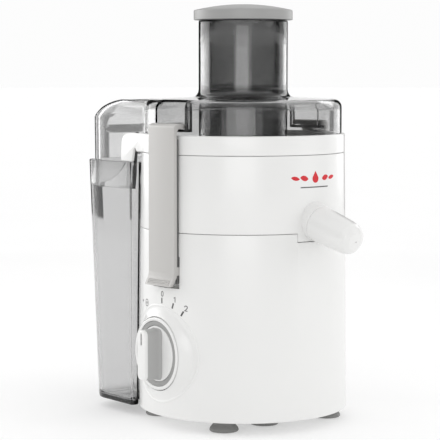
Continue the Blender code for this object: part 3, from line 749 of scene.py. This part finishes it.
def top_rings(angles, cut, inner, inset, steps=30):
    """Rings across the lid's top, from its edge in to the chute, close together near the edge."""
    rings = []
    for i in range(1, steps + 1):
        share = 1 - math.cos(math.pi / 2 * i / steps)
        reach = cut + (inner - cut) * share
        rings.append((reach, top_height(reach * np.cos(angles), reach * np.sin(angles), inset)))
    return rings


def lid():
    """The lid in one closed skin: outside up to the chute's mouth, down its bore, and back out along the inside."""
    angles = lid_angles()
    low = skirt_low(angles)
    flat = np.ones_like(angles)
    rings, cut = wall_rings(angles, 0.0, low)
    rings += top_rings(angles, cut, CHUTE_FILLET, 0.0)
    tube = [(42.0, 281.0), (40.3, 282.5), (39.2, 284.4), (CHUTE_RADIUS, 287.0), (CHUTE_RADIUS, 300),
            (CHUTE_RADIUS, 330), (CHUTE_RADIUS, CHUTE_TOP - 0.9), (CHUTE_RADIUS - 0.5, CHUTE_TOP - 0.1),
            (CHUTE_RADIUS - 1.2, CHUTE_TOP), (CHUTE_BORE + 0.6, CHUTE_TOP - 0.1), (CHUTE_BORE, CHUTE_TOP - 0.9),
            (CHUTE_BORE, 320), (CHUTE_BORE, 280), (CHUTE_BORE, 240), (CHUTE_BORE, CHUTE_END + 0.6),
            (CHUTE_BORE + 0.6, CHUTE_END), (CHUTE_RADIUS - 0.8, CHUTE_END), (CHUTE_RADIUS - 0.2, CHUTE_END + 0.6),
            (CHUTE_RADIUS - 0.2, 240), (CHUTE_RADIUS - 0.1, 275.3), (39.5, 277.1), (41.5, 278.0)]
    rings += [(r * flat, z * flat) for r, z in tube]
    inner_walls, inner_cut = wall_rings(angles, LID_WALL, low)
    rings += reversed(top_rings(angles, inner_cut, CHUTE_FILLET, LID_WALL))
    rings += reversed(inner_walls)
    points = []
    for reach, height in rings:
        points.append(list(zip(reach * np.cos(angles), reach * np.sin(angles), height)))
    shell = make("lid_and_chute", ring_stack(points, closed=True), SMOKE, sharp=44, merge=4e-3)
    finish_piece(shell, "base", "smoky_clear", "lid")


def container_outline(height, inset=0.0, gap=1.2):
    """The container's plan: straight sides, round rear corners, rounded front edges and a front that hugs the body."""
    share = (height - CONTAINER_BOTTOM) / (CONTAINER_TOP - CONTAINER_BOTTOM)
    rear = 132.0 + 12.0 * share - inset
    front_half, rear_half, corner = 74.4 - inset, 71.6 - inset, 28.0 - inset
    hollow = body_radius(height) + gap + inset
    front = CONTAINER_FRONT + inset
    start = math.asin(front / hollow)
    edge = max(2.6 - inset, 0.6)
    right = []
    for i in range(7):
        a = math.pi / 2 * i / 6
        right.append((front_half - edge + edge * math.sin(a), front + edge - edge * math.cos(a)))
    for i in range(4):
        t = (i + 1) / 5
        right.append((front_half + (rear_half - front_half) * t, front + edge + (rear - corner - front - edge) * t))
    for i in range(19):
        a = math.pi / 2 * i / 18
        right.append((rear_half - corner + corner * math.cos(a), rear - corner + corner * math.sin(a)))
    left = [(-x, y) for x, y in reversed(right)]
    bend = []
    for i in range(61):
        a = math.pi - start + (2 * start - math.pi) * i / 60
        bend.append((hollow * math.cos(a), hollow * math.sin(a)))
    return right + left + bend


def pulp_container():
    """A tall open tub: tapered walls, a softly rounded foot and rim, and a small skirt below its floor."""
    wall = CONTAINER_WALL
    outside = [(CONTAINER_BOTTOM, 0.9), (CONTAINER_BOTTOM + 0.3, 0.3), (CONTAINER_BOTTOM + 1.2, 0.0)]
    outside += [(z, 0.0) for z in (40, 80, 120, 160, 200, CONTAINER_TOP - 0.8)]
    outside += [(CONTAINER_TOP - 0.2, 0.2), (CONTAINER_TOP, 0.7)]
    inside = [(CONTAINER_TOP, wall - 0.7), (CONTAINER_TOP - 0.2, wall - 0.2), (CONTAINER_TOP - 0.8, wall)]
    inside += [(z, wall) for z in (200, 160, 120, 80, 40, 17)]
    inside += [(14.4, wall + 0.3), (13.0, wall + 1.2), (12.5, wall + 2.6)]
    rings = [[(x, y, z) for x, y in container_outline(z, inset)] for z, inset in outside + inside]
    tub = make("pulp_tub", ring_stack(rings), SMOKE, sharp=40)
    finish_piece(tub, "container", "smoky_clear", "pulp_container")


def pusher():
    cup = lathe("pusher_cup_clear", [
        (0.5, 208), (35.0, 208, 2.0), (35.7, 212), (35.7, 350.6, 0.5), (33.6, 350.6, 0.5), (33.4, 211, 2.0),
        (0.5, 210.6)], SMOKE_DARK, FINE, closed=False)
    finish_piece(cup, "pusher", "smoky_clear", "pusher_cup")
    top = []
    for i in range(13):
        r = 41.6 * (1 - i / 12) + 0.5
        top.append((r, 355.3 + (CAP_TOP - 355.3) * (1 - (r / 42.9) ** 2)))
    cap = rounded([(0.5, 351.0), (36.3, 351.0), (36.3, 346.9, 0.4), (42.9, 346.9, 0.8), (42.9, 354.9, 1.6), top[0]],
                  closed=False)
    cap = make("pusher_cap_top", lathe_mesh(cap + top[1:], FINE, closed=False), CAP)
    finish_piece(cap, "pusher", "cap_plastic", "pusher_cap")


# ---------------------------------------------------------------- clamps

def clamp_outline():
    """The clamp from the side, as (radius, height): a thin arm, a hook over the lid's ledge and a flared lip."""
    knuckle = []
    for i in range(13):
        a = math.pi / 2 + math.pi * i / 12
        knuckle.append((PIVOT_X + 3.2 * math.cos(a), PIVOT_Z + 3.2 * math.sin(a)))
    outer = rounded([(95.9, 123.4), (98.8, 123, 1.2), (94.6, 130, 8), (93.8, 134, 6), (93.8, 257.0, 3),
                     (90, 259.2, 4), (79, 259.2, 1.2), (79, 254.9, 0.8), (88.4, 254.9, 1.5), (90.4, 251.5, 3),
                     (90.4, 139.6)], closed=False)
    return outer + knuckle + rounded([(90.4, 132.4), (91.0, 130.2, 3), (95.9, 123.5)], closed=False)[:-1]


def clamps():
    """Each clamp is a bevelled arm with four grip ribs on its lip. Inside each edge is a dark strip of painted shade,
    which stands for the shadow in the gap between clamp and body.
    """
    for side, sign in (("left", -1), ("right", 1)):
        outline = [(sign * radius, height) for radius, height in clamp_outline()]
        rings = [[(x, y, z) for x, z in outline] for y in (-CLAMP_HALF, CLAMP_HALF)]
        clamp = make("clamp_moulding_" + side, ring_stack(rings), CLAMP, sharp=30)
        bevel(clamp, 1.5, 4, 60)
        bore = cutter("bore", lathe_mesh([(1.85, -20), (1.85, 20)], 32, closed=False),
                      facing((sign * PIVOT_X, 0, PIVOT_Z), (0, 1, 0)))
        apply_boolean(clamp, bore)
        for k in range(4):
            share = (k + 0.8) / 5
            x, z = 98.3 + (95.0 - 98.3) * share, 124.0 + (129.6 - 124.0) * share
            rib = [[(sign * (x + 0.45 * math.cos(a)), y, z + 0.45 * math.sin(a))
                    for a in [math.tau * i / 12 for i in range(12)]] for y in (-13.5, 13.5)]
            rib = cutter("rib", ring_stack(rib))
            apply_boolean(clamp, rib, "UNION")
        finish_piece(clamp, side + "_clamp", "clamp_plastic", "clamp_" + side)
        # Painted shade: thin dark strips along the clamp's inner edges, where the gap between clamp and body lies in
        # shadow.
        for end, low, high in (("front", -16.2, -14.6), ("rear", 14.6, 16.2)):
            strip = [(90.7, 125.2), (88.6, 125.4), (85.4, 128.4), (84.9, 145.6), (86.6, 147.3), (88.5, 149),
                     (88.6, 246), (90.7, 248)]
            strip = [[(sign * x, y, z) for x, z in strip] for y in (low, high)]
            strip = make(f"clamp_painted_shadow_{side}_{end}", ring_stack(strip), PAINTED_SHADOW_GREY, sharp=30)
            finish_piece(strip, side + "_clamp", "dark_plastic")


# ---------------------------------------------------------------- knob and its dial marks

def grip_outline(half_width, half_length):
    """The grip from above: a bar with half-round ends."""
    corner = min(half_width, 4.5)
    points = []
    for cx, cy, start in ((1, 1, 0), (-1, 1, 1), (-1, -1, 2), (1, -1, 3)):
        for i in range(9):
            a = math.pi / 2 * (start + i / 8)
            points.append((cx * (half_width - corner) + corner * math.cos(a),
                           cy * (half_length - corner) + corner * math.sin(a)))
    return points


def knob():
    """The dial, its grey ring and spindle, and the tall grip with a white face and a pointer let into it."""
    place = knob_place()
    dial = lathe("dial_disc", [
        (0.5, 84), (30.4, 84, 0.6), (31, 86), (31, 93.8, 1.2), (28, 93.8, 0.7), (28, 91.6), (23.6, 91.6),
        (23.6, 93.2, 0.6), (0.5, 93.2)], WHITE, ROUND * 2, closed=False, place=place)
    finish_piece(dial, "knob", "white_plastic", "knob_dial")
    ring = lathe("dial_grey_ring", [(24, 91.9), (27.7, 91.9), (27.7, 93.1, 0.3), (24, 93.1, 0.3)], KNOB_GREY,
                 ROUND * 2, place=place)
    finish_piece(ring, "knob", "clamp_plastic", "knob_ring")
    spindle = lathe("dial_spindle", [(0.5, 80.2), (3, 80.2, 0.4), (3, 83.7), (0.5, 83.7)], BLACK, 32, closed=False,
                    place=place)
    finish_piece(spindle, "knob", "dark_plastic", "knob_shaft")
    sections = [(93.4, 8.6, 22.0), (93.7, 7.6, 21.9), (94.6, 6.9, 21.75), (96.2, 6.5, 21.6), (99, 6.3, 21.5),
                (106.2, 6.2, 21.4)]
    grip = make("dial_grip", ring_stack([[(x, y, z) for x, y in grip_outline(w, l)] for z, w, l in sections]),
                GRIP_SIDE, place, sharp=50)
    finish_piece(grip, "knob", "white_plastic", "knob_grip")
    sections = [(106.2, 6.2, 21.4), (107.6, 6.15, 21.35), (108.3, 5.9, 21.1), (108.65, 5.5, 20.7), (108.7, 5.1, 20.3)]
    face = make("dial_grip_face", ring_stack([[(x, y, z) for x, y in grip_outline(w, l)] for z, w, l in sections]),
                WHITE, place, sharp=50)
    slot = [(x, y + 13.6) for x, y in grip_outline(1.15, 5.2)]
    apply_boolean(face, cutter("slot", prism(slot, 107.7, 110), place))
    finish_piece(face, "knob", "white_plastic")
    pointer = make("dial_pointer", prism([(x, y + 13.6) for x, y in grip_outline(1.05, 5.1)], 107.6, 107.95),
                   KNOB_GREY, place)
    finish_piece(pointer, "knob", "clamp_plastic")


def on_body(across, up, forward, base, lift):
    """The point of the body's surface that stands this far across and up from a line looking along forward."""
    side = Vector((0, 0, 1)).cross(forward)
    depth = math.sqrt((body_radius(base + up) + lift) ** 2 - across ** 2)
    return forward * depth + side * across + Vector((0, 0, base + up))


def stroke(line, width, closed=False):
    """A flat band of that width along a line of 2-D points, as left and right edges."""
    left, right = [], []
    count = len(line)
    for i, point in enumerate(line):
        before = line[i - 1] if i or closed else point
        after = line[(i + 1) % count] if i < count - 1 or closed else point
        along = (Vector(after) - Vector(before)).normalized()
        across = Vector((-along.y, along.x)) * (width / 2)
        left.append(tuple(Vector(point) + across))
        right.append(tuple(Vector(point) - across))
    return left, right


def turned_by(points, angle, centre):
    """Points turned clockwise about the origin and moved to the centre, both in the plane of the print."""
    c, s = math.cos(angle), math.sin(angle)
    return [(x * c + y * s + centre[0], -x * s + y * c + centre[1]) for x, y in points]


def arc_line(cx, cy, rx, ry, start, end, steps):
    return [(cx + rx * math.cos(math.radians(start + (end - start) * i / steps)),
             cy + ry * math.sin(math.radians(start + (end - start) * i / steps))) for i in range(steps + 1)]


def band(bm, line, width, forward, base, closed=False):
    """Print a stroke on the body as a thin raised band."""
    left, right = stroke(line, width, closed)
    count = len(line)
    points = []
    for i in range(count):
        points.append([bm.verts.new(on_body(*left[i], forward, base, 0.02)),
                       bm.verts.new(on_body(*left[i], forward, base, 0.1)),
                       bm.verts.new(on_body(*right[i], forward, base, 0.1)),
                       bm.verts.new(on_body(*right[i], forward, base, 0.02))])
    for i in range(count if closed else count - 1):
        here, there = points[i], points[(i + 1) % count]
        for k in range(4):
            bm.faces.new((here[k], here[(k + 1) % 4], there[(k + 1) % 4], there[k]))
    if not closed:
        bm.faces.new(points[0])
        bm.faces.new(points[-1])


def patch(bm, outline, forward, base):
    """Print a filled shape on the body: an outline that is star-shaped about its middle."""
    middle = (sum(x for x, _ in outline) / len(outline), sum(y for _, y in outline) / len(outline))
    shares = (1.0, 0.66, 0.33)
    rings = []
    for lift in (0.1, 0.02):
        for share in shares if lift > 0.05 else shares[:1]:
            rings.append([bm.verts.new(on_body(middle[0] + (x - middle[0]) * share,
                                               middle[1] + (y - middle[1]) * share, forward, base, lift))
                          for x, y in outline])
    top = bm.verts.new(on_body(*middle, forward, base, 0.1))
    count = len(outline)
    for i in range(count):
        j = (i + 1) % count
        bm.faces.new((rings[3][i], rings[3][j], rings[0][j], rings[0][i]))
        bm.faces.new((rings[0][i], rings[0][j], rings[1][j], rings[1][i]))
        bm.faces.new((rings[1][i], rings[1][j], rings[2][j], rings[2][i]))
        bm.faces.new((rings[2][i], rings[2][j], top))
    bm.faces.new(rings[3])


def dial_marks():
    """A tick and a numeral for each of the three settings, and a round mark for the momentary one."""
    forward = Vector((-math.sin(math.radians(KNOB_AZIMUTH)), -math.cos(math.radians(KNOB_AZIMUTH)), 0))
    numerals = {
        0: [(arc_line(0, 0, 1.25, 2.1, 90, 450, 20)[:-1], True)],
        1: [([(-1.1, 1.2), (-0.2, 1.9), (0.3, 2.2), (0.3, 1.0), (0.3, -0.6), (0.3, -2.2)], False)],
        2: [(arc_line(0, 0.9, 1.35, 1.3, 165, -35, 12) + [(0.2, -0.9), (-1.4, -2.1), (0.1, -2.1), (1.5, -2.1)],
             False)],
    }
    bm = bmesh.new()
    for value, degrees in ((0, 5), (1, 22.5), (2, 37)):
        angle = math.radians(degrees)
        for radius, lines in ((45.8, [([(0, y) for y in (-2.35, -1, 0, 1, 2.35)], False)]), (51.6, numerals[value])):
            centre = (radius * math.sin(angle), radius * math.cos(angle))
            for line, closed in lines:
                width = 1.5 if radius < 50 else 0.66
                turn = angle - math.radians(5) if radius < 50 else 0.0
                band(bm, turned_by(line, turn, centre), width, forward, KNOB_HEIGHT, closed)
    centre = (-21.6, 41.0)
    band(bm, arc_line(*centre, 2.9, 2.9, 0, 360, 32)[:-1], 0.6, forward, KNOB_HEIGHT, closed=True)
    patch(bm, arc_line(*centre, 1.1, 1.1, 0, 345, 23), forward, KNOB_HEIGHT)
    patch(bm, arc_line(-31.0, 41.6, 1.0, 1.0, 0, 345, 23), forward, KNOB_HEIGHT)
    marks = make("dial_marks", bm, PRINT, merge=1e-4)
    finish_piece(marks, "base", "dark_plastic")


def emblem():
    """A plain red drop between two leaves, over a thin grey line, on the bowl above the spout."""
    forward = Vector((0, -1, 0))
    bm = bmesh.new()
    drop = [(0, 5.2)] + arc_line(0, -1.2, 3.5, 3.5, 25, -205, 24)
    patch(bm, drop, forward, EMBLEM_HEIGHT)
    for sign in (-1, 1):
        for reach, half in ((12.2, 2.3), (21.0, 1.7)):
            leaf = []
            for i in range(24):
                a = math.tau * i / 24
                leaf.append((sign * reach + 4.0 * math.cos(a), -0.6 + half * math.sin(a) * (1 - 0.35 * math.cos(a) ** 2)
                             + sign * 0.16 * 4.0 * math.cos(a)))
            patch(bm, leaf, forward, EMBLEM_HEIGHT)
    mark = make("front_emblem", bm, RED, merge=1e-4)
    finish_piece(mark, "base", "white_plastic")
    bm = bmesh.new()
    band(bm, [(-16 + 32 * i / 16, -8.2) for i in range(17)], 0.9, forward, EMBLEM_HEIGHT)
    line = make("front_emblem_line", bm, PRINT, merge=1e-4)
    finish_piece(line, "base", "dark_plastic")


# ---------------------------------------------------------------- basket

def basket():
    """The spinning basket: the sieve's cone, its dark rim, and the grating disc with rows of small teeth."""
    sieve = lathe("sieve_cone", [(54.35, 190.6), (55.1, 190.6), (71.5, 238), (70.75, 238)], SIEVE, FINE)
    finish_piece(sieve, "drive", "sieve_steel", "filter_sieve")
    rim = lathe("sieve_rim", [(70.2, 238.3, 0.4), (73.2, 238.3, 0.4), (73.8, 243, 0.9), (70.8, 243, 0.9)], BLACK, FINE)
    finish_piece(rim, "drive", "dark_plastic", "filter_rim")
    disc = lathe("grater_disc", [(0.5, 194.7), (51, 194.7, 0.3), (51, 196.1, 0.3), (9, 196.1, 1), (7, 198.6, 0.8),
                                 (0.5, 198.6)], STEEL, ROUND, closed=False)
    finish_piece(disc, "drive", "steel", "grating_disc")
    bm = bmesh.new()
    for row in range(9):
        radius = 13 + 4.5 * row
        count = 6 + 4 * row
        for i in range(count):
            a = math.tau * (i + 0.5 * (row % 2)) / count
            c, s = math.cos(a), math.sin(a)
            corners = [(radius, -1.1, 196.0), (radius, 1.1, 196.0), (radius + 2.6, 0, 196.0)]
            base = [bm.verts.new((x * c - y * s, x * s + y * c, z)) for x, y, z in corners]
            tip = bm.verts.new(((radius + 0.5) * c, (radius + 0.5) * s, 197.4))
            bm.faces.new(base)
            for k in range(3):
                bm.faces.new((base[k], base[(k + 1) % 3], tip))
    teeth = make("grater_teeth", bm, STEEL, sharp=20)
    finish_piece(teeth, "drive", "steel")


CARRIED = {
    "foot_rubber": (RUBBER, ["shaft_seal", "spout_seal"] + [f"motor_mount_{i}" for i in (1, 2, 3, 4)]),
    "dark_plastic": (BLACK, ["cord_gland", "speed_switch", "cooling_fan", "drive_coupling", "basket_hub"]),
    "steel": (STEEL, ["motor_shaft"] + [f"base_screw_{i}" for i in (1, 2, 3, 4)]
              + [f"{name}_{side}" for name in ("clamp_pin", "motor_spacer") for side in ("left", "right")]
              + [f"{name}_{end}" for name in ("motor_bearing", "motor_bracket") for end in ("upper", "lower")]),
    "laminations": (LAMINATION, ["motor_stator"]),
    "copper": (COPPER, ["field_winding_upper", "field_winding_lower", "motor_armature", "commutator"]),
    "carbon": (CARBON, ["carbon_brush_front", "carbon_brush_rear"]),
}


def carried_over():
    """The inner pieces keep their CAD shapes and take their finishes."""
    for slot, (material, names) in CARRIED.items():
        for name in names:
            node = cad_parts[name]
            node.data.materials.clear()
            node.data.materials.append(material)


def corners(low_high):
    return [[round(value, 6) for value in corner] for corner in low_high]


base_housing()
knob_surround()
dish_ridge()
bottom_plate()
feet()
juice_bowl()
spout()
pulp_collar()
lid()
pulp_container()
clamps()
pusher()
knob()
dial_marks()
emblem()
basket()
carried_over()
camera()
studio()
